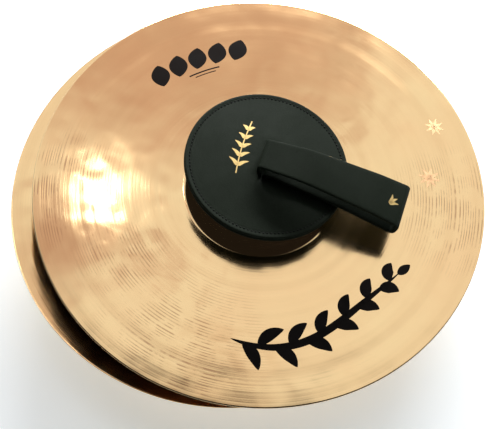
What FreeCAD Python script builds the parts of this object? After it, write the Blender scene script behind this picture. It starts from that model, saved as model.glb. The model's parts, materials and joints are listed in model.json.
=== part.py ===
import FreeCAD, Part
import math
import os
from FreeCAD import Vector

# A pair of hand cymbals laid face to face on a flat surface, in millimetres.
# The lower cymbal lies bell down on its flattened strap, with its axis on +Z.
# The upper one lies on it face down, moved along +X and tilted, so the rims
# meet on the +X side and stand open on the -X side.
# The origin is on the lower cymbal's axis, on the underside of its strap.
#
# Each cymbal is built in its own frame: the origin is the centre of the rim
# on the hollow side, and +Z points out of the bell.

# Plates
plate_radius = 177.8
plate_thickness = 1.1
bow_height = 13.0
bell_radius = 57.0
bell_height = 26.0
bell_fillet = 12.0
rim_round = 0.35
hole_radius = 8.0

# How the upper cymbal lies on the lower one
upper_shift = 21.0
upper_tilt = 5.46
rim_clearance = 0.3

# Pads
pad_radius = 63.5
leather_thickness = 2.8
felt_height = 3.0
pad_seam_width = 6.5
upper_pad_lean = 7.1
upper_pad_lean_direction = 33.0
upper_handle_shift_x = 1.5
upper_handle_shift_y = 3.0
upper_strap_turn = -4.5
seat_clearance = 0.3

# Stitches round the pad's edge
stitch_inset = 4.0
stitch_pitch = 3.0
stitch_length = 2.1
stitch_width = 0.9
stitch_proud = 0.35
stitch_depth = 0.5

# Straps
strap_thickness = 3.0
strap_width = 25.0
strap_end_width = 36.0
strap_reach = 110.0
strap_clearance = 0.4
swing_clearance = 0.3
curl_radius = 5.2
curl_offset = 1.0
loop_rise = 8.0
loop_drop = 11.0
fold_radius = 6.0
fold_flat_gap = 0.4
flat_curl_offset = -6.0
loop_swell = 0.3
slot_clearance = 1.0

# Knot inside the bell
tail_width = 12.5
tail_weave_gap = 5.5
tail_end = 20.0
tail_gap = 0.1
hole_clearance = 0.6


felt_radius = pad_radius - pad_seam_width
tail_column = (hole_radius - hole_clearance) / math.sqrt(2) - tail_gap / 2


def chord_sphere(radius, height, base):
    """Radius of the sphere that rises by height between base and radius."""
    step = (radius**2 - base**2 - height**2) / (2 * height)
    return math.sqrt(radius**2 + step**2)


bow_sphere = chord_sphere(plate_radius, bow_height, bell_radius)
bow_centre = -math.sqrt(bow_sphere**2 - plate_radius**2)
bell_sphere = (bell_radius**2 + bell_height**2) / (2 * bell_height)
bell_centre = bow_height + bell_height - bell_sphere
bell_top = bell_centre + bell_sphere + plate_thickness


def on_sphere(radius, centre, r):
    return Vector(r, 0, centre + math.sqrt(radius**2 - r**2))


def sphere_arc(radius, centre, start, end):
    middle = on_sphere(radius, centre, (start + end) / 2)
    return Part.Arc(on_sphere(radius, centre, start), middle, on_sphere(radius, centre, end)).toShape()


def seam_radius(bow, bell):
    """Radius of the circle in which the bow's sphere meets the bell's sphere."""
    apart = bell_centre - bow_centre
    level = (bow**2 - bell**2 + apart**2) / (2 * apart)
    return math.sqrt(bow**2 - level**2)


def turned(edges):
    """Solid of one turn about Z of the closed outline in the XZ plane."""
    face = Part.Face(Part.Wire(Part.__sortEdges__(edges)))
    return Part.makeSolid(face.revolve(Vector(0, 0, 0), Vector(0, 0, 1), 360))


def plate():
    """Bronze plate: a bow with a bell, one thickness all over."""
    inner_seam = seam_radius(bow_sphere, bell_sphere)
    outer_bow = bow_sphere + plate_thickness
    outer_bell = bell_sphere + plate_thickness
    outer_seam = seam_radius(outer_bow, outer_bell)
    inner_rim = on_sphere(bow_sphere, bow_centre, plate_radius)
    outer_rim = on_sphere(outer_bow, bow_centre, plate_radius)
    inner_hole = on_sphere(bell_sphere, bell_centre, hole_radius)
    outer_hole = on_sphere(outer_bell, bell_centre, hole_radius)
    solid = turned([
        sphere_arc(bell_sphere, bell_centre, hole_radius, inner_seam),
        sphere_arc(bow_sphere, bow_centre, inner_seam, plate_radius),
        Part.makeLine(inner_rim, outer_rim),
        sphere_arc(outer_bow, bow_centre, plate_radius, outer_seam),
        sphere_arc(outer_bell, bell_centre, outer_seam, hole_radius),
        Part.makeLine(outer_hole, inner_hole),
    ])
    solid = solid.makeFillet(bell_fillet, circles(solid, outer_seam))
    solid = solid.makeFillet(bell_fillet + plate_thickness, circles(solid, inner_seam))
    return solid.makeFillet(rim_round, circles(solid, plate_radius))


def circles(solid, radius):
    found = []
    for edge in solid.Edges:
        if isinstance(edge.Curve, Part.Circle) and abs(edge.Curve.Radius - radius) < 1e-3:
            found.append(edge)
    return found


class Handle:
    """How a pad and its strap sit on a cymbal: the pad's lean, and the shift and turn."""

    def __init__(self, lean=0, direction=0, shift_x=0, shift_y=0, turn=0):
        self.lean = math.radians(lean)
        heading = math.radians(direction)
        across = Vector(-math.sin(heading), math.cos(heading), 0)
        outer_bell = bell_sphere + plate_thickness
        self.base = bell_centre + (outer_bell + seat_clearance) / math.cos(self.lean)
        rotation = FreeCAD.Rotation(across, lean)
        centre = Vector(0, 0, self.base) + rotation.multVec(Vector(shift_x, shift_y, 0))
        self.pad_place = FreeCAD.Placement(centre, rotation)
        self.strap_place = FreeCAD.Placement(centre, FreeCAD.Rotation(Vector(0, 0, 1), turn))
        along = math.radians(direction - turn)
        self.slope = math.sin(self.lean) * math.cos(along)
        self.side_slope = abs(math.sin(self.lean) * math.sin(along))

    def pad_top(self, s):
        """Height of the pad's crowned side over its underside's centre, s out along the strap.

        It is taken at the strap's higher edge, where the pad also leans sideways.
        """
        crown = felt_height * max(0, 1 - (s / felt_radius)**2)
        side = self.side_slope * strap_width / 2
        return (2 * leather_thickness + crown) * math.cos(self.lean) - s * self.slope + side


lower_handle = Handle()
upper_handle = Handle(upper_pad_lean, upper_pad_lean_direction, upper_handle_shift_x, upper_handle_shift_y,
                      upper_strap_turn)


def dome_arc(lift):
    """Arc of the crowned side, lift above the felt, from the axis outwards."""
    low = leather_thickness + lift
    middle = Vector(felt_radius / 2, 0, low + 0.75 * felt_height)
    return Part.Arc(Vector(0, 0, low + felt_height), middle, Vector(felt_radius, 0, low)).toShape()


def pad_slot(handle):
    """Space for the strap's neck, square to the cymbal's axis."""
    lean = strap_width * math.sin(handle.lean)
    across = 2 * (strap_thickness + fold_flat_gap + slot_clearance) + lean
    along = strap_width + 2 * slot_clearance
    tall = pad_radius
    slot = Part.makeBox(across, along, tall, Vector(-across / 2, -along / 2, -tall / 2))
    slot.Placement = handle.strap_place
    return slot


def pad_layer(solid, handle):
    solid.Placement = handle.pad_place
    return solid.cut(pad_slot(handle))


def pad_base_leather(handle):
    return pad_layer(Part.makeCylinder(pad_radius, leather_thickness), handle)


def pad_felt(handle):
    low = Vector(0, 0, leather_thickness)
    top = Vector(0, 0, leather_thickness + felt_height)
    edge = Vector(felt_radius, 0, leather_thickness)
    return pad_layer(turned([dome_arc(0), Part.makeLine(edge, low), Part.makeLine(low, top)]), handle)


def pad_top_leather(handle):
    rim_low = Vector(pad_radius, 0, leather_thickness)
    rim_high = Vector(pad_radius, 0, 2 * leather_thickness)
    felt_edge = Vector(felt_radius, 0, leather_thickness)
    crown_edge = Vector(felt_radius, 0, 2 * leather_thickness)
    felt_top = Vector(0, 0, leather_thickness + felt_height)
    crown_top = Vector(0, 0, 2 * leather_thickness + felt_height)
    solid = turned([
        dome_arc(0),
        Part.makeLine(felt_edge, rim_low),
        Part.makeLine(rim_low, rim_high),
        Part.makeLine(rim_high, crown_edge),
        dome_arc(leather_thickness),
        Part.makeLine(crown_top, felt_top),
    ])
    return pad_layer(solid, handle)


def pad_stitching(handle):
    """Evenly spaced stitches on the flat edge of the top leather."""
    ring = pad_radius - stitch_inset
    count = round(2 * math.pi * ring / stitch_pitch)
    height = stitch_proud + stitch_depth
    corner = Vector(ring - stitch_width / 2, -stitch_length / 2, 2 * leather_thickness - stitch_depth)
    stitch = Part.makeBox(stitch_width, stitch_length, height, corner)
    stitches = []
    for index in range(count):
        one = stitch.copy()
        one.rotate(Vector(0, 0, 0), Vector(0, 0, 1), 360 * index / count)
        stitches.append(one)
    group = Part.makeCompound(stitches)
    group.Placement = handle.pad_place
    return group


def strap_plan(bottom, top):
    """Plan of the strap as a block: narrow at the root, wider at the far end."""
    reach = 1.2 * strap_reach
    near = strap_width / 2
    far = near + (strap_end_width - strap_width) / 2 * reach / strap_reach
    corners = [(-reach, near), (0, near), (reach, far), (reach, -far), (0, -near), (-reach, -near)]
    points = [Vector(x, y, bottom) for x, y in corners]
    points.append(points[0])
    return Part.Face(Part.makePolygon(points)).extrude(Vector(0, 0, top - bottom))


def band(points, straight):
    """Strap leather as a strip of even thickness along a smooth line in XZ.

    The line leaves the first point and reaches the last one along straight.
    """
    line = Part.BSplineCurve()
    line.interpolate(Points=points, InitialTangent=straight, FinalTangent=straight * -1)
    steps = 8 * len(points)
    sides = []
    for side in (-1, 1):
        offset = []
        for step in range(steps + 1):
            at = line.FirstParameter + (line.LastParameter - line.FirstParameter) * step / steps
            tangent = line.tangent(at)[0]
            across = Vector(-tangent.z, 0, tangent.x)
            offset.append(line.value(at) + across * (side * strap_thickness / 2))
        edge = Part.BSplineCurve()
        edge.interpolate(offset)
        sides.append(edge)
    edges = [side.toShape() for side in sides]
    edges.append(Part.makeLine(sides[0].StartPoint, sides[1].StartPoint))
    edges.append(Part.makeLine(sides[0].EndPoint, sides[1].EndPoint))
    face = Part.Face(Part.Wire(Part.__sortEdges__(edges)))
    strip = face.extrude(Vector(0, 2 * strap_end_width, 0))
    strip.translate(Vector(0, -strap_end_width, 0))
    box = strip.BoundBox
    return strip.common(strap_plan(box.ZMin - 1, box.ZMax + 1))


def cross_cylinder(radius, s, z):
    """Cylinder of the strap's root, along the strap's width."""
    start = Vector(s, -strap_end_width, z)
    return Part.makeCylinder(radius, 2 * strap_end_width, start, Vector(0, 1, 0))


def cross_box(s_low, s_high, z_low, z_high, width):
    return Part.makeBox(s_high - s_low, width, z_high - z_low, Vector(s_low, -width / 2, z_low))


def curl_height(handle):
    """Height of the open strap's swing axis, at the middle of its curl."""
    return handle.pad_top(0) + strap_clearance + strap_thickness / 2 + curl_radius


def open_band(handle):
    """The strap as it flops over: out along the pad, round, and back above it."""
    axis = curl_height(handle)
    rest = strap_clearance + strap_thickness / 2
    edge_height = handle.pad_top(pad_radius) + rest
    end_height = edge_height - loop_drop / 2
    points = [
        Vector(curl_offset, 0, axis - curl_radius),
        Vector(pad_radius / 2, 0, handle.pad_top(pad_radius / 2) + rest),
        Vector(pad_radius, 0, edge_height),
        Vector(strap_reach - fold_radius, 0, edge_height - loop_drop),
        Vector(strap_reach - strap_thickness / 2, 0, end_height),
        Vector(strap_reach - fold_radius, 0, end_height + loop_drop / 2),
        Vector((strap_reach + pad_radius) / 2, 0, edge_height + loop_rise),
        Vector(pad_radius / 2, 0, axis + curl_radius + loop_swell),
        Vector(curl_offset, 0, axis + curl_radius),
    ]
    return band(points, Vector(1, 0, 0))


def open_strap_loop(handle):
    inner = curl_radius + strap_thickness / 2 + swing_clearance
    loop = open_band(handle).cut(cross_cylinder(inner, curl_offset, curl_height(handle)))
    neck_side = strap_thickness + fold_flat_gap / 2 + swing_clearance
    near_side = cross_box(-strap_reach, neck_side, -strap_reach, strap_reach * 2, 3 * strap_end_width)
    return loop.cut(near_side)


def open_strap_root(handle):
    """Curl of the strap above the pad, and its neck down through the pad."""
    axis = curl_height(handle)
    outer = curl_radius + strap_thickness / 2
    inner = curl_radius - strap_thickness / 2
    curl = cross_cylinder(outer, curl_offset, axis).cut(cross_cylinder(inner, curl_offset, axis))
    curl = curl.cut(cross_box(curl_offset, curl_offset + 2 * outer, axis - inner, axis + inner,
                              2 * strap_end_width))
    curl = curl.common(strap_plan(axis - 2 * outer, axis + 2 * outer))
    return curl.fuse(strap_neck(axis - curl_radius)).removeSplitter()


def strap_neck(top):
    half = strap_thickness + fold_flat_gap / 2
    return cross_box(-half, half, 0, top, strap_width)


def flat_levels(handle):
    """Heights of the flattened strap: its near face, its middle and its far face."""
    near = handle.pad_top(0) + strap_clearance
    middle = near + strap_thickness + fold_flat_gap / 2
    return near, middle, 2 * middle - near


def flat_strap_loop(handle):
    near, middle, far = flat_levels(handle)
    half = far - middle
    block = cross_box(flat_curl_offset, strap_reach - half, near, far, 2 * strap_end_width)
    block = block.fuse(cross_cylinder(half, strap_reach - half, middle))
    slit = cross_box(-strap_reach, strap_reach - half, middle - fold_flat_gap / 2, middle + fold_flat_gap / 2,
                     3 * strap_end_width)
    neck_side = strap_thickness + fold_flat_gap / 2 + swing_clearance
    root_space = cross_box(-strap_reach, neck_side, near - 1, middle + fold_flat_gap / 2, 3 * strap_end_width)
    block = block.cut(slit).cut(root_space)
    block = block.cut(cross_cylinder(half + swing_clearance, flat_curl_offset, middle))
    return block.common(strap_plan(near - 1, far + 1))


def flat_strap_root(handle):
    near, middle, far = flat_levels(handle)
    barrel = cross_cylinder(far - middle, flat_curl_offset, middle)
    neck_side = strap_thickness + fold_flat_gap / 2
    layer = cross_box(flat_curl_offset, neck_side, near, near + strap_thickness, 2 * strap_end_width)
    root = barrel.fuse(layer).common(strap_plan(near - 1, far + 1))
    return root.fuse(strap_neck(near + strap_thickness)).removeSplitter()


def knot_top():
    """Height of the knot's near side, which clears the inside of the bell."""
    corner = math.hypot(tail_end, tail_weave_gap / 2 + tail_width)
    return bell_centre + math.sqrt(bell_sphere**2 - corner**2) - seat_clearance


def knot_tail(index, handle):
    """One of the four tails: down through the hole, then woven over and under."""
    upper = knot_top()
    step = strap_thickness + fold_flat_gap / 2
    start = tail_weave_gap / 2
    outline = [
        (-tail_end, upper - step), (-start, upper - step), (start, upper), (tail_end, upper),
        (tail_end, upper - strap_thickness), (start, upper - strap_thickness),
        (-start, upper - step - strap_thickness), (-tail_end, upper - step - strap_thickness),
    ]
    points = [Vector(s, -start, z) for s, z in outline]
    points.append(points[0])
    strip = Part.Face(Part.makePolygon(points)).extrude(Vector(0, -tail_width, 0))
    low = upper - strap_thickness / 2
    column = Part.makeBox(tail_column, tail_column, handle.strap_place.Base.z - low,
                          Vector(tail_gap / 2, -tail_column - tail_gap / 2, low))
    tail = strip.fuse(column).removeSplitter()
    tail.rotate(Vector(0, 0, 0), Vector(0, 0, 1), 90 * index)
    return tail


def upper_rise():
    """Height of the upper rim's centre above the lower one, where the rims meet.

    The lower rim's edge comes under the upper plate's hollow side.
    """
    tilt = math.radians(upper_tilt)
    reach = (plate_radius - upper_shift) / math.cos(tilt)
    hollow = bow_centre + math.sqrt(bow_sphere**2 - reach**2)
    return reach * math.sin(tilt) - hollow * math.cos(tilt) + rim_clearance


def lower_rim_height():
    return lower_handle.base + flat_levels(lower_handle)[2]


lower_place = FreeCAD.Placement(Vector(0, 0, lower_rim_height()), FreeCAD.Rotation(Vector(1, 0, 0), 180))
upper_place = FreeCAD.Placement(Vector(upper_shift, 0, lower_rim_height() + upper_rise()),
                                FreeCAD.Rotation(Vector(0, 1, 0), upper_tilt))


def save(name, shape, place):
    """Write one piece, moved from its cymbal's frame to its place in the pair."""
    moved = shape.copy()
    moved.Placement = place.multiply(shape.Placement)
    moved.exportStep(os.path.join("parts", name + ".step"))


def cymbal(side, place, handle, strap_root, strap_loop):
    save(side + "_cymbal_plate", plate(), place)
    save(side + "_pad_base_leather", pad_base_leather(handle), place)
    save(side + "_pad_felt", pad_felt(handle), place)
    save(side + "_pad_top_leather", pad_top_leather(handle), place)
    save(side + "_pad_stitching", pad_stitching(handle), place)
    for name, strap in (("_strap_root", strap_root), ("_strap_loop", strap_loop)):
        strap.Placement = handle.strap_place.multiply(strap.Placement)
        save(side + name, strap, place)
    for index in range(4):
        save("%s_knot_tail_%d" % (side, index + 1), knot_tail(index, handle), place)


os.makedirs("parts", exist_ok=True)
cymbal("lower", lower_place, lower_handle, flat_strap_root(lower_handle), flat_strap_loop(lower_handle))
cymbal("upper", upper_place, upper_handle, open_strap_root(upper_handle), open_strap_loop(upper_handle))
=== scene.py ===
import json
import math
import random
import bpy
import numpy as np
from mathutils import Matrix, Vector


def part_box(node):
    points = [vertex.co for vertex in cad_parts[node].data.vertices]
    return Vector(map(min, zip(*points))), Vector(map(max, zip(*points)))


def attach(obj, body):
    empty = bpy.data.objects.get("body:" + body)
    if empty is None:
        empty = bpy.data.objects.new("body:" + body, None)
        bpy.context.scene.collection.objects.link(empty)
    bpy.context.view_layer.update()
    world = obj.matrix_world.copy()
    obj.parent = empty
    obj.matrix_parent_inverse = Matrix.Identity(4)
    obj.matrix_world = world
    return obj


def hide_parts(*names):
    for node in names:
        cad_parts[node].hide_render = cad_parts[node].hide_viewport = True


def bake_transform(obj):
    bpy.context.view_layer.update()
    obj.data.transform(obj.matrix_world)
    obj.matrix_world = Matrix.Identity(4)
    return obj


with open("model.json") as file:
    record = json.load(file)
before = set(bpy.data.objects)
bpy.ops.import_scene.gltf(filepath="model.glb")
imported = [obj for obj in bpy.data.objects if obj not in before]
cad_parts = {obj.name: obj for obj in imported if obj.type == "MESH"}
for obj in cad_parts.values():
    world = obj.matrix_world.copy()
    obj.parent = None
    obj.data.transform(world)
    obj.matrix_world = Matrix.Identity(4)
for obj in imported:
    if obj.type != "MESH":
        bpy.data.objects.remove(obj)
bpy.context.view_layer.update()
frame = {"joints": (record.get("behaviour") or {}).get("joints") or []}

scene = bpy.context.scene
jointOf = {joint["name"]: joint for joint in frame["joints"]}


def clearSelection():
    bpy.ops.object.select_all(action="DESELECT")


def pick(obj):
    clearSelection()
    obj.select_set(True)
    bpy.context.view_layer.objects.active = obj
    return obj


def editMode(select="SELECT"):
    bpy.ops.object.mode_set(mode="EDIT")
    bpy.ops.mesh.select_all(action=select)


def objectMode():
    bpy.ops.object.mode_set(mode="OBJECT")


def namedPiece(name):
    obj = bpy.context.object
    obj.name = name
    obj.data.name = name
    return obj


def finishWith(obj, kind, **values):  # add a modifier and apply it at once
    pick(obj)
    modifier = obj.modifiers.new(kind.title(), kind)
    for key, value in values.items():
        setattr(modifier, key, value)
    bpy.ops.object.modifier_apply(modifier=modifier.name)


def smooth(obj, degrees=40):
    pick(obj)
    bpy.ops.object.shade_smooth_by_angle(angle=math.radians(degrees))


def place(obj, matrix):  # the object stays at the origin, its mesh moves
    obj.data.transform(matrix)
    obj.data.update()


def points(obj):
    flat = np.empty(len(obj.data.vertices) * 3)
    obj.data.vertices.foreach_get("co", flat)
    return flat.reshape(-1, 3)


def setPoints(obj, array):
    obj.data.vertices.foreach_set("co", array.reshape(-1))
    obj.data.update()


def duplicate(obj, name):
    twin = obj.copy()
    twin.data = obj.data.copy()
    twin.name = name
    twin.data.name = name
    bpy.context.collection.objects.link(twin)
    return twin


def joined(objs, name):
    pick(objs[0])
    for obj in objs[1:]:
        obj.select_set(True)
    if len(objs) > 1:
        bpy.ops.object.join()
    return namedPiece(name)


def outwardNormals(obj):
    pick(obj)
    editMode()
    bpy.ops.mesh.remove_doubles(threshold=1e-6)
    bpy.ops.mesh.normals_make_consistent(inside=False)
    objectMode()


def spun(name, profile, turns):
    # a profile of (radius, height) points is extruded point by point, then spun round Z
    clearSelection()
    bpy.ops.mesh.primitive_plane_add(size=0.001, location=(profile[0][0], 0, profile[0][1]))
    obj = namedPiece(name)
    bpy.ops.object.transform_apply(location=True, rotation=True, scale=True)
    editMode()
    bpy.ops.mesh.merge(type="CENTER")
    for before, after in zip(profile, profile[1:]):
        step = (after[0] - before[0], 0, after[1] - before[1])
        bpy.ops.mesh.extrude_region_move(TRANSFORM_OT_translate={"value": step})
    bpy.ops.mesh.select_all(action="SELECT")
    bpy.ops.mesh.spin(steps=turns, angle=2 * math.pi, center=(0, 0, 0), axis=(0, 0, 1))
    bpy.ops.mesh.select_all(action="SELECT")
    bpy.ops.mesh.remove_doubles(threshold=2e-6)
    bpy.ops.mesh.normals_make_consistent(inside=False)
    objectMode()
    return obj


# a cymbal's own frame: origin at the centre of the rim on the hollow side, Z out of the bell
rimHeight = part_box("lower_cymbal_plate")[1][2]
upperCentre = Vector(jointOf["upper_handle_spin"]["pos_m"])
upperAxis = Vector(jointOf["upper_handle_spin"]["axis"])
lowerPlace = Matrix.Translation((0, 0, rimHeight)) @ Matrix.Rotation(math.pi, 4, "X")
upperPlace = Matrix.Translation(upperCentre) @ Matrix.Rotation(math.atan2(upperAxis.x, upperAxis.z), 4, "Y")
places = {"lower": lowerPlace, "upper": upperPlace}

plateSet = {
    "radius": 0.1778, "thickness": 0.0011, "bowHeight": 0.013, "bellRadius": 0.057, "bellHeight": 0.026,
    "bellBlend": 0.0045, "hole": 0.008, "rings": 150, "segments": 288, "rimBevel": 0.0003,
    "dents": 330, "dentDepth": 0.00011, "ringDepth": 0.0000022,
    "broadRings": 14, "dentRings": (0.078, 0.096, 0.114, 0.132, 0.150, 0.164), "dentScatter": 0.006,
    "dentSizes": (0.0035, 0.005, 0.011), "edgeFade": 0.004,
}
padSet = {
    "radius": 0.0635, "leather": 0.0028, "crown": 0.0030, "seamWidth": 0.0065, "seatGap": 0.0003,
    "edgeRound": 0.0011, "seamDip": 0.00028, "seamInset": 0.0040, "pucker": 0.0016, "segments": 120,
    "crownSteps": 26,
}
seatSet = {
    "lower": {"lean": 0.0, "heading": 0.0, "shift": (0.0, 0.0, 0.0), "turn": 0.0},
    "upper": {"lean": 7.1, "heading": 33.0, "shift": (0.0015, 0.0030, 0.0), "turn": -4.5},
}
strapSet = {
    "thickness": 0.0030, "rootWidth": 0.025, "endWidth": 0.036, "reach": 0.110, "clear": 0.0004,
    "curlRadius": 0.0052, "curlOffset": 0.0022, "rise": 0.0080, "drop": 0.011,
    "swell": 0.0003, "flatGap": 0.0004, "flatCurl": -0.006, "bevel": 0.0006,
    "alongCuts": 150, "acrossCuts": 12,
}

bowSphere = math.hypot(plateSet["radius"], (plateSet["radius"]**2 - plateSet["bowHeight"]**2
                                            - plateSet["bellRadius"]**2) / (2 * plateSet["bowHeight"]))
bowCentre = -math.sqrt(bowSphere**2 - plateSet["radius"]**2)
bellSphere = (plateSet["bellRadius"]**2 + plateSet["bellHeight"]**2) / (2 * plateSet["bellHeight"])
bellCentre = plateSet["bowHeight"] + plateSet["bellHeight"] - bellSphere


def polar(r, degrees):
    return (r * math.cos(math.radians(degrees)), r * math.sin(math.radians(degrees)))


def hollowHeight(r):  # height of the plate's hollow side over its rim, r out from the axis
    bow = bowCentre + math.sqrt(bowSphere**2 - r**2)
    bell = bellCentre + math.sqrt(max(bellSphere**2 - r**2, 0))
    blend = max(plateSet["bellBlend"] - abs(bow - bell), 0) / plateSet["bellBlend"]
    return max(bow, bell) + blend**2 * plateSet["bellBlend"] / 4


def seatOf(side):  # the pad's place and the strap's place in the cymbal's frame, as the CAD seats them
    seat = seatSet[side]
    lean = math.radians(seat["lean"])
    heading = math.radians(seat["heading"])
    base = bellCentre + (bellSphere + plateSet["thickness"] + padSet["seatGap"]) / math.cos(lean)
    leaning = Matrix.Rotation(lean, 4, Vector((-math.sin(heading), math.cos(heading), 0)))
    centre = Vector((0, 0, base)) + leaning @ Vector(seat["shift"])
    padPlace = Matrix.Translation(centre) @ leaning
    strapPlace = Matrix.Translation(centre) @ Matrix.Rotation(math.radians(seat["turn"]), 4, "Z")
    return padPlace, strapPlace


def padTop(side, s):  # height of the pad's crown under the strap, s out along the strap
    seat = seatSet[side]
    lean = math.sin(math.radians(seat["lean"]))
    along = math.radians(seat["heading"] - seat["turn"])
    crown = padSet["crown"] * max(0, 1 - (s / (padSet["radius"] - padSet["seamWidth"]))**2)
    sideways = abs(lean * math.sin(along)) * strapSet["rootWidth"] / 2
    return 2 * padSet["leather"] + crown - s * lean * math.cos(along) + sideways


def nodeTree(material):
    material.use_nodes = True
    tree = material.node_tree
    shader = next(node for node in tree.nodes if node.type == "BSDF_PRINCIPLED")
    return tree, shader


def addNode(tree, kind, **values):
    node = tree.nodes.new(kind)
    for key, value in values.items():
        if hasattr(node, key):
            setattr(node, key, value)
        else:
            node.inputs[key.replace("_", " ")].default_value = value
    return node


def link(tree, source, target):
    tree.links.new(source, target)


def newGroup(name, inputs, outputs):
    group = bpy.data.node_groups.new(name, "ShaderNodeTree")
    for socketName, kind, value in inputs:
        socket = group.interface.new_socket(socketName, in_out="INPUT", socket_type=kind)
        if value is not None:
            socket.default_value = value
    for socketName, kind in outputs:
        group.interface.new_socket(socketName, in_out="OUTPUT", socket_type=kind)
    return group, group.nodes.new("NodeGroupInput"), group.nodes.new("NodeGroupOutput")


def mathNode(tree, operation, first, second=None, clamp=False):
    node = tree.nodes.new("ShaderNodeMath")
    node.operation = operation
    node.use_clamp = clamp
    for index, value in enumerate((first, second)):
        if value is None:
            continue
        if isinstance(value, (int, float)):
            node.inputs[index].default_value = value
        else:
            tree.links.new(value, node.inputs[index])
    return node.outputs[0]


def noiseNode(tree, vector, scale, detail=2.0, roughness=0.5, distortion=0.0):
    node = addNode(tree, "ShaderNodeTexNoise", Scale=scale, Detail=detail, Roughness=roughness,
                   Distortion=distortion)
    link(tree, vector, node.inputs["Vector"])
    return node.outputs["Fac"]


def rangeNode(tree, value, fromLow, fromHigh, toLow, toHigh):
    node = tree.nodes.new("ShaderNodeMapRange")
    link(tree, value, node.inputs["Value"])
    ends = {"From Min": fromLow, "From Max": fromHigh, "To Min": toLow, "To Max": toHigh}
    for key, number in ends.items():
        node.inputs[key].default_value = number
    return node.outputs["Result"]


def makeGrooveGroup():
    # rings cut by the lathe: one noise read along the radius, weaker and stronger in patches
    group, enter, leave = newGroup(
        "latheGrooves",
        [("Place", "NodeSocketVector", None), ("Fineness", "NodeSocketFloat", 1.0)],
        [("Height", "NodeSocketFloat"), ("Ring", "NodeSocketFloat"), ("Radius", "NodeSocketFloat"),
         ("Patch", "NodeSocketFloat"), ("Cut", "NodeSocketFloat")])
    parts = addNode(group, "ShaderNodeSeparateXYZ")
    link(group, enter.outputs["Place"], parts.inputs[0])
    across = mathNode(group, "POWER", parts.outputs["X"], 2)
    along = mathNode(group, "POWER", parts.outputs["Y"], 2)
    radius = mathNode(group, "SQRT", mathNode(group, "ADD", across, along))
    heights = []
    for scale, detail in ((1500.0, 1.0), (420.0, 2.0), (90.0, 1.0)):
        ring = addNode(group, "ShaderNodeTexNoise", noise_dimensions="1D", Scale=1.0, Detail=detail)
        link(group, mathNode(group, "MULTIPLY", mathNode(group, "MULTIPLY", radius, scale),
                             enter.outputs["Fineness"]), ring.inputs["W"])
        heights.append(ring.outputs["Fac"])
    patch = rangeNode(group, noiseNode(group, enter.outputs["Place"], 22.0, 2.0), 0.36, 0.66, 0.15, 1.0)
    fine = mathNode(group, "MULTIPLY", heights[0], patch)
    middle = mathNode(group, "MULTIPLY", heights[1], mathNode(group, "ADD", patch, 0.5))
    total = mathNode(group, "ADD", mathNode(group, "MULTIPLY", fine, 0.45),
                     mathNode(group, "ADD", middle, mathNode(group, "MULTIPLY", heights[2], 1.4)))
    link(group, total, leave.inputs["Height"])
    link(group, heights[2], leave.inputs["Ring"])
    link(group, radius, leave.inputs["Radius"])
    link(group, patch, leave.inputs["Patch"])
    # the Cut output masks thin broken lines along the grooves, used only for painted shade in the bronze
    # colour
    broken = rangeNode(group, noiseNode(group, enter.outputs["Place"], 70.0, 3.0, 0.6), 0.42, 0.6, 0.0, 1.0)
    turns = mathNode(group, "ADD", mathNode(group, "MULTIPLY", radius, 2 * math.pi / 0.0024),
                     mathNode(group, "MULTIPLY", heights[2], 9.0))
    line = rangeNode(group, mathNode(group, "SINE", turns), 0.15, 0.9, 0.0, 1.0)
    link(group, mathNode(group, "MULTIPLY", line, broken), leave.inputs["Cut"])
    return group


def makeHammerGroup():
    # soft hammer marks: two sizes of rounded cells
    group, enter, leave = newGroup("hammerMarks", [("Place", "NodeSocketVector", None),
                                                   ("Size", "NodeSocketFloat", 1.0)],
                                   [("Height", "NodeSocketFloat")])
    sized = addNode(group, "ShaderNodeVectorMath", operation="SCALE")
    link(group, enter.outputs["Place"], sized.inputs[0])
    link(group, enter.outputs["Size"], sized.inputs["Scale"])
    cells = addNode(group, "ShaderNodeTexVoronoi", feature="SMOOTH_F1", Scale=52.0, Smoothness=0.8,
                    Randomness=0.9)
    link(group, sized.outputs[0], cells.inputs["Vector"])
    wide = noiseNode(group, sized.outputs[0], 30.0, 1.0, 0.4, 0.6)
    total = mathNode(group, "ADD", mathNode(group, "MULTIPLY", cells.outputs["Distance"], 0.6), wide)
    link(group, total, leave.inputs["Height"])
    return group


def makeGrainGroup():
    # leather grain: small cells with creases between them, and a slow rise and fall
    group, enter, leave = newGroup("leatherGrain", [("Place", "NodeSocketVector", None),
                                                    ("Cells", "NodeSocketFloat", 1100.0)],
                                   [("Height", "NodeSocketFloat"), ("Crease", "NodeSocketFloat")])
    bent = addNode(group, "ShaderNodeTexNoise", Scale=900.0, Detail=2.0)
    link(group, enter.outputs["Place"], bent.inputs["Vector"])
    mixed = addNode(group, "ShaderNodeVectorMath", operation="MULTIPLY_ADD")
    mixed.inputs[1].default_value = (0.0006, 0.0006, 0.0006)
    link(group, bent.outputs["Color"], mixed.inputs[0])
    link(group, enter.outputs["Place"], mixed.inputs[2])
    cells = addNode(group, "ShaderNodeTexVoronoi", feature="DISTANCE_TO_EDGE")
    link(group, mixed.outputs[0], cells.inputs["Vector"])
    link(group, enter.outputs["Cells"], cells.inputs["Scale"])
    crease = rangeNode(group, cells.outputs["Distance"], 0.0, 0.16, 0.0, 1.0)
    slow = noiseNode(group, enter.outputs["Place"], 240.0, 3.0)
    height = mathNode(group, "ADD", crease, mathNode(group, "MULTIPLY", slow, 1.2))
    link(group, height, leave.inputs["Height"])
    link(group, crease, leave.inputs["Crease"])
    return group


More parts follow.
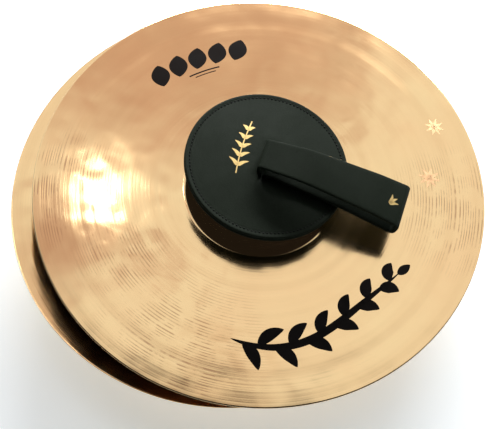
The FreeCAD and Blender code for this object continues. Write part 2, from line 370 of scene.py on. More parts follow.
def makeWearGroup():
    # slow cloudy mask for fingerprints, rubbing and uneven polish
    group, enter, leave = newGroup("handledPatches", [("Place", "NodeSocketVector", None),
                                                      ("Scale", "NodeSocketFloat", 14.0)],
                                   [("Mask", "NodeSocketFloat")])
    cloud = addNode(group, "ShaderNodeTexNoise", Detail=5.0, Roughness=0.6, Distortion=0.4)
    link(group, enter.outputs["Place"], cloud.inputs["Vector"])
    link(group, enter.outputs["Scale"], cloud.inputs["Scale"])
    link(group, rangeNode(group, cloud.outputs["Fac"], 0.35, 0.68, 0.0, 1.0), leave.inputs["Mask"])
    return group


grooveGroup = makeGrooveGroup()
hammerGroup = makeHammerGroup()
grainGroup = makeGrainGroup()
wearGroup = makeWearGroup()


def useGroup(tree, group, placeSocket, **values):
    node = tree.nodes.new("ShaderNodeGroup")
    node.node_tree = group
    link(tree, placeSocket, node.inputs["Place"])
    for key, value in values.items():
        node.inputs[key].default_value = value
    return node


def placeSocket(tree, centre=(0, 0, 0), lean=0.0):
    # Object coordinates, centred on a cymbal and turned to its axis
    coordinates = tree.nodes.new("ShaderNodeTexCoord")
    mapping = addNode(tree, "ShaderNodeMapping", vector_type="TEXTURE")
    mapping.inputs["Location"].default_value = centre
    mapping.inputs["Rotation"].default_value = (0, lean, 0)
    link(tree, coordinates.outputs["Object"], mapping.inputs["Vector"])
    return mapping.outputs[0]


def bumpNode(tree, height, strength, distance, under=None):
    node = addNode(tree, "ShaderNodeBump", Strength=strength, Distance=distance)
    link(tree, height, node.inputs["Height"])
    if under is not None:
        link(tree, under, node.inputs["Normal"])
    return node.outputs[0]


def mixColour(tree, factor, first, second):
    node = addNode(tree, "ShaderNodeMix", data_type="RGBA")
    link(tree, factor, node.inputs["Factor"])
    for key, value in (("A", first), ("B", second)):
        socket = next(s for s in node.inputs if s.name == key and s.type == "RGBA")
        if isinstance(value, tuple):
            socket.default_value = (*value, 1)
        else:
            link(tree, value, socket)
    return next(s for s in node.outputs if s.type == "RGBA")


bronzeSet = {
    "gold": (0.88, 0.64, 0.335), "pink": (0.86, 0.58, 0.30), "dull": (0.76, 0.50, 0.25),
    # the colour for the groove lines is painted shade along the real lathe grooves, standing in for their
    # dark reflections
    "cut": (0.52, 0.32, 0.165), "inside": (0.20, 0.135, 0.095),
    # the inside colour above and this band are painted shade on the hollow side, full within the inner
    # radius and fading out by the outer one
    "insideShadeBand": {"upper": (0.175, 0.169), "lower": (0.155, 0.146)},
    "roughness": (0.10, 0.20), "grooveBump": 0.35, "grooveDistance": 0.00006,
    "hammerBump": 0.6, "hammerDistance": 0.0007,
    # where the painted shade along the groove lines is strongest on the upper plate: distance out, degrees
    # round, reach
    "cutPatches": [(0.150, 192, 0.055), (0.150, 258, 0.075), (0.158, 8, 0.060), (0.120, 222, 0.040)],
}
leatherSet = {
    "dark": (0.0072, 0.0112, 0.0066), "light": (0.012, 0.0178, 0.0110), "rubbed": (0.018, 0.026, 0.017),
    "roughness": (0.50, 0.64), "specular": 0.06, "grainBump": 0.30, "grainDistance": 0.0002,
}


def makeBronze(name, side, inside=False):
    material = bpy.data.materials.new(name)
    tree, shader = nodeTree(material)
    if side == "upper":
        here = placeSocket(tree, upperCentre, math.atan2(upperAxis.x, upperAxis.z))
    else:
        here = placeSocket(tree, (0, 0, rimHeight))
    groove = useGroup(tree, grooveGroup, here)
    # painted shade along the groove lines, strongest in the listed patches on the upper plate
    cutMask = mathNode(tree, "MULTIPLY", groove.outputs["Patch"], 0.0)
    for out, degrees, reach in bronzeSet["cutPatches"] if side == "upper" else []:
        near = addNode(tree, "ShaderNodeVectorMath", operation="DISTANCE")
        link(tree, here, near.inputs[0])
        near.inputs[1].default_value = (*polar(out, degrees), 0.005)
        soft = rangeNode(tree, near.outputs["Value"], reach, reach * 0.35, 0.0, 1.0)
        cutMask = mathNode(tree, "MAXIMUM", cutMask, soft)
    cuts = mathNode(tree, "MULTIPLY", groove.outputs["Cut"], mathNode(tree, "ADD", cutMask, 0.05), True)
    hammer = useGroup(tree, hammerGroup, here)
    wear = useGroup(tree, wearGroup, here, Scale=9.0)
    warm = mixColour(tree, wear.outputs["Mask"], bronzeSet["gold"], bronzeSet["pink"])
    band = rangeNode(tree, groove.outputs["Ring"], 0.35, 0.75, 0.0, 0.35)
    banded = mixColour(tree, band, warm, bronzeSet["dull"])
    # the groove lines are darkened here as painted shade
    cut = mixColour(tree, cuts, banded, bronzeSet["cut"])
    if inside:  # painted shade: deep inside the bow the base colour is darkened, standing in for the dark reflection of the other cymbal's shaded underside
        outer, inner = bronzeSet["insideShadeBand"][side]
        insideShade = rangeNode(tree, groove.outputs["Radius"], outer, inner, 0.0, 1.0)
        cut = mixColour(tree, insideShade, cut, bronzeSet["inside"])
    link(tree, cut, shader.inputs["Base Color"])
    low, high = bronzeSet["roughness"]
    link(tree, rangeNode(tree, mathNode(tree, "MULTIPLY", groove.outputs["Patch"], groove.outputs["Ring"]),
                         0.0, 0.8, low, high), shader.inputs["Roughness"])
    shader.inputs["Metallic"].default_value = 1.0
    hammered = bumpNode(tree, hammer.outputs["Height"], bronzeSet["hammerBump"], bronzeSet["hammerDistance"])
    grooved = bumpNode(tree, groove.outputs["Height"], bronzeSet["grooveBump"],
                       bronzeSet["grooveDistance"], hammered)
    link(tree, grooved, shader.inputs["Normal"])
    return material


def makeLeather(name, rubbedShare=0.35):
    material = bpy.data.materials.new(name)
    tree, shader = nodeTree(material)
    here = placeSocket(tree)
    grain = useGroup(tree, grainGroup, here)
    wear = useGroup(tree, wearGroup, here, Scale=26.0)
    tone = mixColour(tree, grain.outputs["Crease"], leatherSet["dark"], leatherSet["light"])
    share = mathNode(tree, "MULTIPLY", wear.outputs["Mask"], rubbedShare)
    link(tree, mixColour(tree, share, tone, leatherSet["rubbed"]), shader.inputs["Base Color"])
    low, high = leatherSet["roughness"]
    link(tree, rangeNode(tree, wear.outputs["Mask"], 0.0, 1.0, high, low), shader.inputs["Roughness"])
    shader.inputs["Specular IOR Level"].default_value = leatherSet["specular"]
    link(tree, bumpNode(tree, grain.outputs["Height"], leatherSet["grainBump"], leatherSet["grainDistance"]),
         shader.inputs["Normal"])
    return material


def makeThread(name):
    material = bpy.data.materials.new(name)
    tree, shader = nodeTree(material)
    here = placeSocket(tree)
    twist = addNode(tree, "ShaderNodeTexWave", Scale=900.0, Distortion=2.0)
    link(tree, here, twist.inputs["Vector"])
    link(tree, mixColour(tree, twist.outputs["Fac"], (0.0006, 0.0008, 0.0006), (0.0022, 0.0028, 0.0022)),
         shader.inputs["Base Color"])
    shader.inputs["Roughness"].default_value = 0.55
    shader.inputs["Specular IOR Level"].default_value = 0.2
    link(tree, bumpNode(tree, twist.outputs["Fac"], 0.4, 0.0001), shader.inputs["Normal"])
    return material


def makeFelt(name):
    material = bpy.data.materials.new(name)
    tree, shader = nodeTree(material)
    here = placeSocket(tree)
    fibres = noiseNode(tree, here, 2600.0, 6.0, 0.7, 1.5)
    link(tree, mixColour(tree, fibres, (0.16, 0.16, 0.15), (0.32, 0.31, 0.29)), shader.inputs["Base Color"])
    shader.inputs["Roughness"].default_value = 0.95
    link(tree, bumpNode(tree, fibres, 0.6, 0.0004), shader.inputs["Normal"])
    return material


def makeInk(name):
    material = bpy.data.materials.new(name)
    tree, shader = nodeTree(material)
    here = placeSocket(tree)
    wear = useGroup(tree, wearGroup, here, Scale=60.0)
    link(tree, mixColour(tree, wear.outputs["Mask"], (0.004, 0.003, 0.0025), (0.010, 0.007, 0.006)),
         shader.inputs["Base Color"])
    link(tree, rangeNode(tree, wear.outputs["Mask"], 0.0, 1.0, 0.42, 0.30), shader.inputs["Roughness"])
    shader.inputs["Specular IOR Level"].default_value = 0.05
    return material


def makeFoil(name, colour, metallic, roughness):
    material = bpy.data.materials.new(name)
    tree, shader = nodeTree(material)
    here = placeSocket(tree)
    wear = useGroup(tree, wearGroup, here, Scale=320.0)
    dim = tuple(0.72 * channel for channel in colour)
    link(tree, mixColour(tree, wear.outputs["Mask"], colour, dim), shader.inputs["Base Color"])
    shader.inputs["Metallic"].default_value = metallic
    shader.inputs["Roughness"].default_value = roughness
    return material


materials = {
    "upperBronze": makeBronze("upperBronze", "upper"),
    "lowerBronze": makeBronze("lowerBronze", "lower"),
    # the inside materials carry the painted shade on each plate's hollow side
    "upperBronzeInside": makeBronze("upperBronzeInside", "upper", True),
    "lowerBronzeInside": makeBronze("lowerBronzeInside", "lower", True),
    "padLeather": makeLeather("padLeather"),
    "strapLeather": makeLeather("strapLeather", 0.25),
    "waxedThread": makeThread("waxedThread"),
    "woolFelt": makeFelt("woolFelt"),
    "blackInk": makeInk("blackInk"),
    "goldFoil": makeFoil("goldFoil", (0.86, 0.62, 0.24), 0.6, 0.38),
    "pressedMark": makeFoil("pressedMark", (0.80, 0.50, 0.27), 1.0, 0.42),
}
print("materials made")


def dress(obj, materialName):
    obj.data.materials.clear()
    obj.data.materials.append(materials[materialName])


def makePlate(side, seed):
    rings = plateSet["rings"]
    span = plateSet["radius"] - plateSet["hole"]
    profile = []
    for ring in range(rings + 1):
        r = plateSet["hole"] + span * ring / rings
        profile.append((r, hollowHeight(r)))
    obj = spun(side + "_plate_turned", profile, plateSet["segments"])
    array = points(obj)
    draw = random.Random(seed)
    radius = np.hypot(array[:, 0], array[:, 1])
    edgeFade = np.clip((plateSet["radius"] - radius) / plateSet["edgeFade"], 0, 1)
    for _ in range(plateSet["broadRings"]):  # broad turned rings
        length = draw.uniform(0.004, 0.016)
        array[:, 2] += edgeFade * plateSet["ringDepth"] * np.sin(radius / length * 2 * math.pi
                                                                 + draw.uniform(0, 6.28))
    for _ in range(plateSet["dents"]):  # hammer dents, in rings round the bow
        scatter = plateSet["dentScatter"]
        r = draw.choice(plateSet["dentRings"]) + draw.uniform(-scatter, scatter)
        angle = draw.uniform(0, 2 * math.pi)
        size = draw.choice(plateSet["dentSizes"])
        depth = plateSet["dentDepth"] * draw.uniform(0.3, 1.0) * (size / plateSet["dentSizes"][-1])**0.4
        away = (array[:, 0] - r * math.cos(angle))**2 + (array[:, 1] - r * math.sin(angle))**2
        array[:, 2] -= edgeFade * depth * np.exp(-away / (2 * size**2))
    setPoints(obj, array)
    if obj.data.polygons[len(obj.data.polygons) // 2].normal.z < 0:
        pick(obj)
        editMode()
        bpy.ops.mesh.flip_normals()
        objectMode()
    finishWith(obj, "SOLIDIFY", thickness=plateSet["thickness"], offset=1.0)
    finishWith(obj, "BEVEL", width=plateSet["rimBevel"], segments=2, limit_method="ANGLE",
               angle_limit=math.radians(50))
    smooth(obj, 50)
    dress(obj, side + "Bronze")
    # the hollow-side faces get the material with painted shade
    obj.data.materials.append(materials[side + "BronzeInside"])
    for face in obj.data.polygons:
        face.material_index = 1 if face.normal.z < -0.3 else 0
    place(obj, places[side])
    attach(obj, side + "_cymbal")
    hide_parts(side + "_cymbal_plate")
    return obj


def stroke(name, route, width, cuts=56):
    # a ribbon of leaf-like width along a route in the plate's plan
    clearSelection()
    bpy.ops.mesh.primitive_grid_add(x_subdivisions=cuts, y_subdivisions=4, size=2)
    obj = namedPiece(name)
    array = points(obj)
    along = (array[:, 0] + 1) / 2
    across = array[:, 1]
    out = np.zeros_like(array)
    for index, (u, v) in enumerate(zip(along, across)):
        here = Vector(route(u))
        ahead = Vector(route(min(u + 0.01, 1.0))) - Vector(route(max(u - 0.01, 0.0)))
        normal = Vector((-ahead.y, ahead.x)).normalized()
        spot = here + normal * (v * width(u) / 2)
        out[index] = (spot.x, spot.y, 0)
    setPoints(obj, out)
    return obj


def arcRoute(radius, start, end, sway=0.0, waves=1.0):
    def route(u):
        angle = math.radians(start + (end - start) * u)
        r = radius + sway * math.sin(waves * math.pi * u)
        return (r * math.cos(angle), r * math.sin(angle))
    return route


def leafWidth(widest, lean=0.5):
    def width(u):
        return widest * max(math.sin(math.pi * u**lean), 0.0)**0.75 + 0.00005
    return width


def barWidth(width):
    return lambda u: width


def lineRoute(start, end, bend=0.0):
    def route(u):
        x = start[0] + (end[0] - start[0]) * u
        y = start[1] + (end[1] - start[1]) * u
        length = math.hypot(end[0] - start[0], end[1] - start[1])
        push = bend * math.sin(math.pi * u)
        return (x - push * (end[1] - start[1]) / length, y + push * (end[0] - start[0]) / length)
    return route


def plateMark(side, name, strokes, materialName, plate, lift):
    piece = joined(strokes, side + "_" + name)
    array = points(piece)
    for index in range(len(array)):
        r = math.hypot(array[index][0], array[index][1])
        array[index][2] = hollowHeight(r) + plateSet["thickness"] + 0.002
    setPoints(piece, array)
    place(piece, places[side])
    finishWith(piece, "SHRINKWRAP", target=plate, wrap_method="NEAREST_SURFACEPOINT",
               wrap_mode="ABOVE_SURFACE", offset=lift)
    finishWith(piece, "SOLIDIFY", thickness=lift * 0.8, offset=-1.0)
    outwardNormals(piece)
    smooth(piece)
    dress(piece, materialName)
    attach(piece, side + "_cymbal")
    return piece


def branchMark(side, plate):
    # the large dark ornament: a swaying stem with leaves to both sides
    stem = arcRoute(0.1275, -88, -19, 0.0050, 2.0)
    strokes = [stroke("stem", stem, leafWidth(0.0062, 0.8))]
    for index in range(12):
        u = 0.06 + 0.078 * index
        at = Vector(stem(u))
        ahead = (Vector(stem(u + 0.02)) - Vector(stem(u - 0.02))).normalized()
        aside = Vector((-ahead.y, ahead.x)) * (1 if index % 2 else -1)
        size = 0.0245 - 0.0009 * index
        tip = at + ahead * size * 0.74 + aside * size * 0.68
        leaf = lineRoute(tuple(at), tuple(tip), 0.0026)
        strokes.append(stroke("leaf", leaf, leafWidth(0.0094, 0.9), 24))
    strokes.append(stroke("bud", lineRoute(stem(0.97), polar(0.131, -15.5)), leafWidth(0.0070, 0.9), 16))
    return plateMark(side, "branch_mark", strokes, "blackInk", plate, 0.00006)


def barMark(side, plate):
    # the bold dark ornament: a row of leaning lozenges with two thin arcs under it
    strokes = []
    for index in range(5):
        degrees = 141 - 7.6 * index
        lozenge = lineRoute(polar(0.1190, degrees + 1.8), polar(0.1385, degrees - 1.8))
        strokes.append(stroke("lozenge", lozenge, leafWidth(0.0150, 1.0), 20))
    strokes.append(stroke("rule", arcRoute(0.1150, 132, 119), barWidth(0.0012), 24))
    strokes.append(stroke("rule", arcRoute(0.1120, 130, 121), barWidth(0.0008), 24))
    return plateMark(side, "bar_mark", strokes, "blackInk", plate, 0.00006)


def pressedMark(side, plate):
    # two faint pressed rosettes near the edge
    strokes = []
    for centre, size in ((polar(0.154, 36.4), 0.008), (polar(0.135, 18.8), 0.009)):
        for petal in range(8):
            angle = math.radians(45 * petal)
            tip = (centre[0] + size * math.cos(angle), centre[1] + size * math.sin(angle))
            strokes.append(stroke("petal", lineRoute(centre, tip), leafWidth(0.0026), 12))
    return plateMark(side, "pressed_mark", strokes, "pressedMark", plate, 0.00004)


def padProfile(low, high, crown):
    # closed outline of a round leather layer, from the axis at the top to the axis underneath
    radius = padSet["radius"]
    flat = radius - padSet["seamWidth"]
    edge = padSet["edgeRound"]
    profile = []
    steps = padSet["crownSteps"]
    for step in range(steps + 1):
        r = flat * step / steps
        profile.append((r, high + crown * (1 - (r / flat)**2)))
    profile += [(flat + 0.0015, high), (flat + 0.0030, high), (radius - edge - 0.0008, high)]
    for step in range(5):
        angle = math.pi / 2 * (1 - step / 4)
        profile.append((radius - edge + edge * math.cos(angle), high - edge + edge * math.sin(angle)))
    for step in range(5):
        angle = -math.pi / 2 * step / 4
        profile.append((radius - edge + edge * math.cos(angle), low + edge + edge * math.sin(angle)))
    for share in (0.8, 0.6, 0.4, 0.2, 0.0):
        profile.append((flat * share, low))
    return profile


puffSet = {
    "bumps": 14, "bumpHeight": 0.0002, "pressure": 4, "frames": 20, "cap": 0.0009,
    "quality": 6, "mass": 0.4, "stretch": 40, "bend": 4, "pinnedOutside": 0.0555, "pinnedInside": 0.006,
}


def puffed(obj, seed):
    # the filled middle swells like stuffed leather; the sewn edge is pinned
    array = points(obj)
    rest = array.copy()
    draw = random.Random(seed)
    radius = np.hypot(array[:, 0], array[:, 1])
    middle = np.clip(1 - radius / (padSet["radius"] - padSet["seamWidth"]), 0, 1)
    for _ in range(puffSet["bumps"]):
        angle = draw.uniform(0, 2 * math.pi)
        r = draw.uniform(0.012, 0.050)
        size = draw.uniform(0.006, 0.014)
        away = (array[:, 0] - r * math.cos(angle))**2 + (array[:, 1] - r * math.sin(angle))**2
        height = draw.uniform(-puffSet["bumpHeight"], puffSet["bumpHeight"])
        array[:, 2] += height * np.exp(-away / (2 * size**2)) * np.sqrt(middle)
    setPoints(obj, array)
    pins = obj.vertex_groups.new(name="sewnEdge")
    outside = (radius > puffSet["pinnedOutside"]) | (radius < puffSet["pinnedInside"])
    under = array[:, 2] < padSet["leather"] + 0.0004
    held = [int(i) for i in np.where(outside | under)[0]]
    pins.add(held, 1.0, "REPLACE")
    cloth = obj.modifiers.new("Cloth", "CLOTH")
    cloth.settings.quality = puffSet["quality"]
    cloth.settings.mass = puffSet["mass"]
    cloth.settings.tension_stiffness = puffSet["stretch"]
    cloth.settings.compression_stiffness = puffSet["stretch"]
    cloth.settings.bending_stiffness = puffSet["bend"]
    cloth.settings.use_pressure = True
    cloth.settings.uniform_pressure_force = puffSet["pressure"]
    cloth.settings.vertex_group_mass = "sewnEdge"
    cloth.settings.effector_weights.gravity = 0
    cloth.collision_settings.use_collision = False
    cloth.point_cache.frame_start = 1
    cloth.point_cache.frame_end = puffSet["frames"]
    for frameNumber in range(1, puffSet["frames"] + 1):
        scene.frame_set(frameNumber)
    shape = obj.evaluated_get(bpy.context.evaluated_depsgraph_get()).to_mesh()
    swollen = np.empty(len(shape.vertices) * 3)
    shape.vertices.foreach_get("co", swollen)
    obj.evaluated_get(bpy.context.evaluated_depsgraph_get()).to_mesh_clear()
    moved = swollen.reshape(-1, 3) - rest
    length = np.linalg.norm(moved, axis=1, keepdims=True)
    moved *= np.minimum(1, puffSet["cap"] / np.maximum(length, 1e-9))
    obj.modifiers.clear()
    scene.frame_set(1)
    setPoints(obj, rest + moved)


def sewnDetail(obj, side):
    # dip along the stitches, and the pull where the strap goes through
    array = points(obj)
    radius = np.hypot(array[:, 0], array[:, 1])
    top = array[:, 2] > 2 * padSet["leather"] - 0.0006
    ring = padSet["radius"] - padSet["seamInset"]
    dip = padSet["seamDip"] * np.exp(-((radius - ring) / 0.0011)**2)
    turn = math.radians(seatSet[side]["turn"])
    x = array[:, 0] * math.cos(turn) + array[:, 1] * math.sin(turn)
    y = -array[:, 0] * math.sin(turn) + array[:, 1] * math.cos(turn)
    slot = np.hypot(x / 0.0065, np.maximum(np.abs(y) - strapSet["rootWidth"] / 2, 0) / 0.006)
    pull = padSet["pucker"] * np.exp(-slot**2)
    array[:, 2] -= np.where(top, dip + pull, 0)
    setPoints(obj, array)


def makePad(side, seed):
    leather = padSet["leather"]
    padPlace = places[side] @ seatOf(side)[0]
    top = spun(side + "_pad_crown", padProfile(leather + 0.0001, 2 * leather, padSet["crown"] - 0.0004),
               padSet["segments"])
    puffed(top, seed)
    finishWith(top, "SUBSURF", levels=1, render_levels=1)
    sewnDetail(top, side)
    base = spun(side + "_pad_underside", padProfile(0.0, leather - 0.0001, 0.0), padSet["segments"])
    stitches = makeStitches(side)
    for obj, materialName, slotName in ((top, "padLeather", "leather"), (base, "padLeather", "leather"),
                                        (stitches, "waxedThread", "thread")):
        smooth(obj, 50)
        place(obj, padPlace)
        dress(obj, materialName)
        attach(obj, side + "_handle")
    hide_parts(side + "_pad_top_leather", side + "_pad_felt")
    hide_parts(side + "_pad_base_leather")
    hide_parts(side + "_pad_stitching")
    return top


stitchSet = {"pitch": 0.0030, "length": 0.0016, "width": 0.0011, "height": 0.00045, "slant": 6.0}


def makeStitches(side):
    ring = padSet["radius"] - padSet["seamInset"]
    count = round(2 * math.pi * ring / stitchSet["pitch"])
    height = 2 * padSet["leather"] - padSet["seamDip"] + 0.0003
    clearSelection()
    bpy.ops.mesh.primitive_uv_sphere_add(segments=8, ring_count=6, radius=0.5)
    first = namedPiece("stitch")
    array = points(first) * np.array([stitchSet["width"], stitchSet["length"], stitchSet["height"] * 2])
    setPoints(first, array)
    place(first, Matrix.Rotation(math.radians(stitchSet["slant"]), 4, "Z"))
    place(first, Matrix.Translation((ring, 0, height)))
    stitches = [first]
    for index in range(1, count):
        twin = duplicate(first, "stitch")
        place(twin, Matrix.Rotation(2 * math.pi * index / count, 4, "Z"))
        stitches.append(twin)
    return joined(stitches, side + "_pad_seam_stitches")


def roundedRoute(stops, radii):
    # straight runs joined by rounded corners, as an evenly spaced line in the strap's long section
    spots = [Vector(stops[0])]
    for index in range(1, len(stops) - 1):
        corner = Vector(stops[index])
        before = Vector(stops[index - 1]) - corner
        after = Vector(stops[index + 1]) - corner
        half = before.angle(after) / 2
        reach = min(radii[index - 1] / math.tan(half), 0.49 * before.length, 0.49 * after.length)
        start = corner + before.normalized() * reach
        end = corner + after.normalized() * reach
        for step in range(17):
            u = step / 16
            spots.append(start * (1 - u)**2 + corner * (2 * u * (1 - u)) + end * u**2)
    spots.append(Vector(stops[-1]))
    line = np.array([tuple(spot) for spot in spots])
    lengths = np.concatenate([[0], np.cumsum(np.linalg.norm(np.diff(line, axis=0), axis=1))])
    return line, lengths / lengths[-1]


def strapWidth(s):
    root, end = strapSet["rootWidth"], strapSet["endWidth"]
    return root + (end - root) * np.clip(s / strapSet["reach"], 0, 1.1)


def makeStrip(name, stops, radii, widthOf, alongCuts, acrossCuts, thickness, bevel):
    line, share = roundedRoute(stops, radii)
    clearSelection()
    bpy.ops.mesh.primitive_grid_add(x_subdivisions=alongCuts, y_subdivisions=acrossCuts, size=2)
    strip = namedPiece(name)
    array = points(strip)
    u = (array[:, 0] + 1) / 2
    s = np.interp(u, share, line[:, 0])
    z = np.interp(u, share, line[:, 1])
    out = np.column_stack([s, array[:, 1] / 2 * widthOf(s), z])
    setPoints(strip, out)
    finishWith(strip, "SOLIDIFY", thickness=thickness, offset=0.0, use_even_offset=True)
    finishWith(strip, "BEVEL", width=bevel, segments=3, limit_method="ANGLE", angle_limit=math.radians(50))
    outwardNormals(strip)
    return strip


def openStops():
    # centre line of the open loop, up out of the pad, out along the top and back underneath
    rest = strapSet["clear"] + strapSet["thickness"] / 2
    axis = padTop("upper", 0) + rest + strapSet["curlRadius"]
    edge = padTop("upper", padSet["radius"]) + rest
    reach, drop = strapSet["reach"], strapSet["drop"]
    curl, offset, radius = strapSet["curlRadius"], strapSet["curlOffset"], padSet["radius"]
    end = reach - strapSet["thickness"] / 2
    return [
        ((-0.0017, 0.0020), 0), ((-0.0017, axis - curl - 0.0018), 0.0030),
        ((offset - curl, axis - curl + 0.0012), 0.0045), ((offset - curl, axis + curl), 0.0052),
        ((offset, axis + curl), 0.03), ((radius / 2, axis + curl + strapSet["swell"]), 0.10),
        (((reach + radius) / 2, edge + strapSet["rise"]), 0.06), ((end + 0.0010, edge + 0.0005), 0.0080),
        ((end, edge - drop / 2), 0.02), ((end - 0.0020, edge - drop - 0.0018), 0.0060),
        ((radius, edge), 0.12), ((0.0095, axis - curl - 0.0001), 0.01),
        ((0.0017, axis - curl - 0.0014), 0.0035), ((0.0017, 0.0020), 0),
    ]


def flatStops():
    near = padTop("lower", 0) + strapSet["clear"]
    half = strapSet["thickness"] + strapSet["flatGap"] / 2
    inner = near + strapSet["thickness"] / 2
    outer = near + 2 * half - strapSet["thickness"] / 2
    turn = (outer - inner) / 2
    left, right = strapSet["flatCurl"] - turn, strapSet["reach"] - half + turn
    return [
        ((-0.0017, 0.0020), 0), ((-0.0017, inner), 0.0024), ((left, inner), turn), ((left, outer), turn),
        ((right, outer), turn), ((right, inner), turn), ((0.0017, inner), 0.0024), ((0.0017, 0.0020), 0),
    ]


def makeStrap(side):
    route = openStops() if side == "upper" else flatStops()
    stops = [stop for stop, radius in route]
    radii = [radius for stop, radius in route[1:-1]]
    strap = makeStrip(side + "_strap_leather", stops, radii, strapWidth, strapSet["alongCuts"],
                      strapSet["acrossCuts"], strapSet["thickness"] - 0.0001, strapSet["bevel"])
    strapPlace = places[side] @ seatOf(side)[1]
    if side == "upper":  # the long top run sags a little between its edges
        array = points(strap)
        half = strapWidth(array[:, 0]) / 2
        bow = (1 - (array[:, 1] / half)**2) * np.clip((array[:, 0] - 0.012) / 0.03, 0, 1)
        array[:, 2] += 0.0004 * bow
        setPoints(strap, array)
    smooth(strap, 50)
    place(strap, strapPlace)
    dress(strap, "strapLeather")
    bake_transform(strap)
    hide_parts(side + "_strap_root", side + "_strap_loop")
    return strap


knotSet = {"width": 0.0125, "thickness": 0.0029, "gap": 0.0055, "end": 0.020, "bevel": 0.0005}


def makeKnot(side):
    corner = math.hypot(knotSet["end"], knotSet["gap"] / 2 + knotSet["width"])
    top = bellCentre + math.sqrt(bellSphere**2 - corner**2) - padSet["seatGap"]
    half = knotSet["thickness"] / 2
    step = strapSet["thickness"] + strapSet["flatGap"] / 2
    over, under = top - half - 0.00005, top - half - step
    end, gap = knotSet["end"], knotSet["gap"]
    row = [(-end, under), (-end / 2, under), (-gap / 2, under + step * 0.12), (gap / 2, over - step * 0.12),
           (end / 2, over), (end, over)]
    base = seatOf(side)[0].translation.z
    riser = [(0.0026, base - 0.0006), (0.0026, top + 0.002), (0.0030, top - 0.0012)]
    weave = makeStrip("tail", row, [0.02] * 4, lambda s: np.full_like(s, knotSet["width"]), 30, 8,
                      knotSet["thickness"], knotSet["bevel"])
    place(weave, Matrix.Translation((0, -gap / 2 - knotSet["width"] / 2, 0)))
    leg = makeStrip("tailLeg", riser, [0.001], lambda s: np.full_like(s, 0.0048), 10, 4, 0.0048, 0.0006)
    place(leg, Matrix.Translation((0, -0.0026, 0)))
    first = joined([weave, leg], side + "_tail_1")
    smooth(first, 50)
    for index in range(4):
        tail = first if index == 3 else duplicate(first, "%s_tail_%d" % (side, index + 2))
        place(tail, places[side] @ Matrix.Rotation(math.pi / 2 * ((index + 1) % 4), 4, "Z"))
        dress(tail, "strapLeather")
        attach(tail, side + "_handle")
        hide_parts("%s_knot_tail_%d" % (side, (index + 1) % 4 + 1))


def onSurface(strokes, name, frameMatrix, target, height):
    piece = joined(strokes, name)
    array = points(piece)
    array[:, 2] = height
    setPoints(piece, array)
    # the ornament drops onto the leather while both stand in the pad's own frame
    place(target, frameMatrix.inverted())
    finishWith(piece, "SHRINKWRAP", target=target, wrap_method="PROJECT", use_project_z=True,
               use_negative_direction=True, use_positive_direction=False, offset=0.00006)
    place(target, frameMatrix)
    place(piece, frameMatrix)
    finishWith(piece, "SOLIDIFY", thickness=0.00005, offset=-1.0)
    outwardNormals(piece)
    smooth(piece)
    dress(piece, "goldFoil")
    return piece


def padOrnament(side, pad):
    # a plain sprig: one stem with pairs of leaves
    stem = lineRoute((-0.0215, -0.0160), (-0.0190, 0.0330), 0.0015)
    strokes = [stroke("stem", stem, barWidth(0.0009), 40)]
    for index in range(5):
        u = 0.14 + 0.17 * index
        at = stem(u)
        size = 0.0078 - 0.0007 * index
        for sideways in (-1, 1):
            tip = (at[0] + sideways * size, at[1] + size * 0.75)
            strokes.append(stroke("leaf", lineRoute(at, tip, 0.0008 * sideways), leafWidth(0.0030), 14))
    piece = onSurface(strokes, side + "_pad_sprig", places[side] @ seatOf(side)[0], pad, 0.014)
    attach(piece, side + "_handle")


def strapOrnament(side, strap):
    # two small leaves near the fold at the strap's end
    strokes = [
        stroke("leaf", lineRoute((0.0985, -0.0035), (0.1035, 0.0030), 0.0006), leafWidth(0.0030), 16),
        stroke("leaf", lineRoute((0.0985, -0.0035), (0.0990, 0.0050), -0.0006), leafWidth(0.0026), 16),
        stroke("leaf", lineRoute((0.0985, -0.0035), (0.1055, -0.0010), 0.0006), leafWidth(0.0026), 16),
    ]
    piece = onSurface(strokes, side + "_strap_sprig", places[side] @ seatOf(side)[1], strap, 0.034)
    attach(piece, side + "_strap")


plates = {}
for side, seed in (("upper", 11), ("lower", 23)):
    plates[side] = makePlate(side, seed)
    print(side, "plate turned")
    branchMark(side, plates[side])
    barMark(side, plates[side])
    pressedMark(side, plates[side])
    print(side, "marks laid")
for side, seed in (("upper", 5), ("lower", 8)):
    pad = makePad(side, seed)
    padOrnament(side, pad)
    print(side, "pad stuffed and sewn")
    strap = makeStrap(side)
    strapOrnament(side, strap)
    makeKnot(side)
    print(side, "strap and knot made")


def makeFloor():
    clearSelection()
    bpy.ops.mesh.primitive_plane_add(size=14, location=(0, 0, -0.0002))
    floor = namedPiece("paleFloor")
    material = bpy.data.materials.new("paleFloor")
    tree, shader = nodeTree(material)
    shader.inputs["Base Color"].default_value = (0.88, 0.93, 0.97, 1)
    shader.inputs["Emission Color"].default_value = (0.95, 1, 1, 1)  # a sheet lit faintly from below
    shader.inputs["Emission Strength"].default_value = roomSet["floorGlow"]
    shader.inputs["Roughness"].default_value = 0.9
    shader.inputs["Specular IOR Level"].default_value = 0.1
    floor.data.materials.append(material)


lampSet = {
    "stripBox": {"at": (-0.53, 0.65, 1.71), "aim": (-0.11, 0, 0.07),
                 "width": 0.08, "depth": 0.17, "power": 0.62},
    "backBox": {"at": (0.0, 2.4, 0.98), "aim": (0, 0, 0.05), "width": 2.2, "depth": 0.45, "power": 125},
}


def softBox(name, at, aim, width, depth, power):
    light = bpy.data.lights.new(name, "AREA")
    light.shape = "RECTANGLE"
    light.size = width
    light.size_y = depth
    light.energy = power
    box = bpy.data.objects.new(name, light)
    box.location = at
    box.rotation_euler = (Vector(aim) - Vector(at)).to_track_quat("-Z", "Y").to_euler()
    bpy.context.collection.objects.link(box)


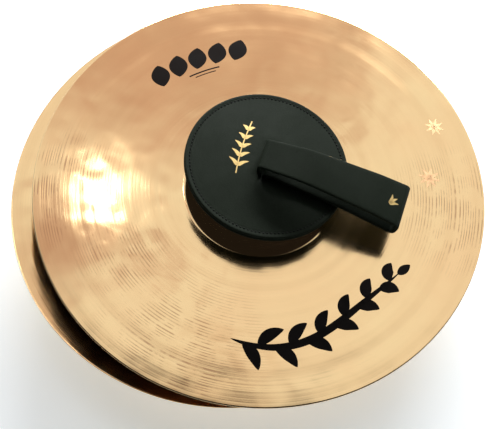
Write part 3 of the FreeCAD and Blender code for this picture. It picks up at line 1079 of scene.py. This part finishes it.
def makePatchGroup():
    # how near a direction lies to the middle of a patch of the room
    group, enter, leave = newGroup("roomPatch", [("Place", "NodeSocketVector", None),
                                                 ("Centre", "NodeSocketVector", (0, 0, 1)),
                                                 ("Full", "NodeSocketFloat", 0.99),
                                                 ("None", "NodeSocketFloat", 0.9)],
                                   [("Mask", "NodeSocketFloat")])
    level = addNode(group, "ShaderNodeVectorMath", operation="NORMALIZE")
    link(group, enter.outputs["Place"], level.inputs[0])
    near = addNode(group, "ShaderNodeVectorMath", operation="DOT_PRODUCT")
    link(group, level.outputs[0], near.inputs[0])
    link(group, enter.outputs["Centre"], near.inputs[1])
    fade = addNode(group, "ShaderNodeMapRange", interpolation_type="SMOOTHSTEP")
    link(group, near.outputs["Value"], fade.inputs["Value"])
    link(group, enter.outputs["None"], fade.inputs["From Min"])
    link(group, enter.outputs["Full"], fade.inputs["From Max"])
    link(group, fade.outputs["Result"], leave.inputs["Mask"])
    return group


roomSet = {
    "floorGlow": 0.44, "strength": 1.0, "bright": (1.03, 1.05, 1.07),
    # each patch: which way it lies (x, y, z), degrees to its full part, degrees to its edge, colour
    "patches": [
        ((-0.17, 0.72, 0.67), 6, 25, (0.70, 0.53, 0.50)),
        ((-0.31, 0.28, 0.91), 2, 9, (0.62, 0.45, 0.43)),
        ((0.05, 0.03, 1.00), 0, 9, (0.92, 0.85, 0.82)),
        ((-0.200, 0.325, 0.92), 0.3, 2.6, (0.60, 0.44, 0.42)),
        ((-0.135, 0.290, 0.95), 0.3, 2.6, (0.66, 0.50, 0.47)),
        ((-0.070, 0.255, 0.96), 0.3, 2.3, (0.72, 0.56, 0.53)),
        ((0.120, 0.760, 0.64), 0.3, 2.6, (0.62, 0.46, 0.43)),
        ((0.145, 0.690, 0.71), 0.3, 2.6, (0.66, 0.50, 0.47)),
        ((0.170, 0.600, 0.78), 0.3, 2.4, (0.70, 0.54, 0.50)),
    ],
    "dark": (0.015, 0.013, 0.012), "brightAround": (0.03, 0.766, 0.643), "brightReach": (45, 52),
}


def makeRoom():
    world = bpy.data.worlds.new("paleRoom")
    scene.world = world
    world.use_nodes = True
    tree = world.node_tree
    background = tree.nodes["Background"]
    background.inputs["Strength"].default_value = roomSet["strength"]
    coordinates = tree.nodes.new("ShaderNodeTexCoord")
    patchGroup = makePatchGroup()
    colour = roomSet["bright"]
    for centre, full, edge, tone in roomSet["patches"]:
        patch = useGroup(tree, patchGroup, coordinates.outputs["Object"], Full=math.cos(math.radians(full)))
        patch.inputs["None"].default_value = math.cos(math.radians(edge))
        patch.inputs["Centre"].default_value = Vector(centre).normalized()
        colour = mixColour(tree, patch.outputs["Mask"], colour, tone)
    full, edge = roomSet["brightReach"]
    high = useGroup(tree, patchGroup, coordinates.outputs["Object"], Full=math.cos(math.radians(full)))
    high.inputs["None"].default_value = math.cos(math.radians(edge))
    high.inputs["Centre"].default_value = Vector(roomSet["brightAround"]).normalized()
    link(tree, mixColour(tree, high.outputs["Mask"], roomSet["dark"], colour), background.inputs["Color"])


cameraSet = {
    "lens": 128.19, "place": (0.19824, -0.62999, 1.24986 + rimHeight),
    "right": (0.9761, 0.21415, -0.03687), "up": (-0.17418, 0.87251, 0.45649),
    "back": (0.12993, -0.43916, 0.88897),
}


def makeCamera():
    lens = bpy.data.cameras.new("studioCamera")
    lens.lens = cameraSet["lens"]
    lens.sensor_width = 36
    camera = bpy.data.objects.new("studioCamera", lens)
    camera.location = cameraSet["place"]
    axes = Matrix((cameraSet["right"], cameraSet["up"], cameraSet["back"])).transposed()
    camera.rotation_euler = axes.to_euler()
    bpy.context.collection.objects.link(camera)
    scene.camera = camera


makeFloor()
makeRoom()
for name, values in lampSet.items():
    softBox(name, **values)
makeCamera()
scene.view_settings.view_transform = "Standard"

print("scene ready")
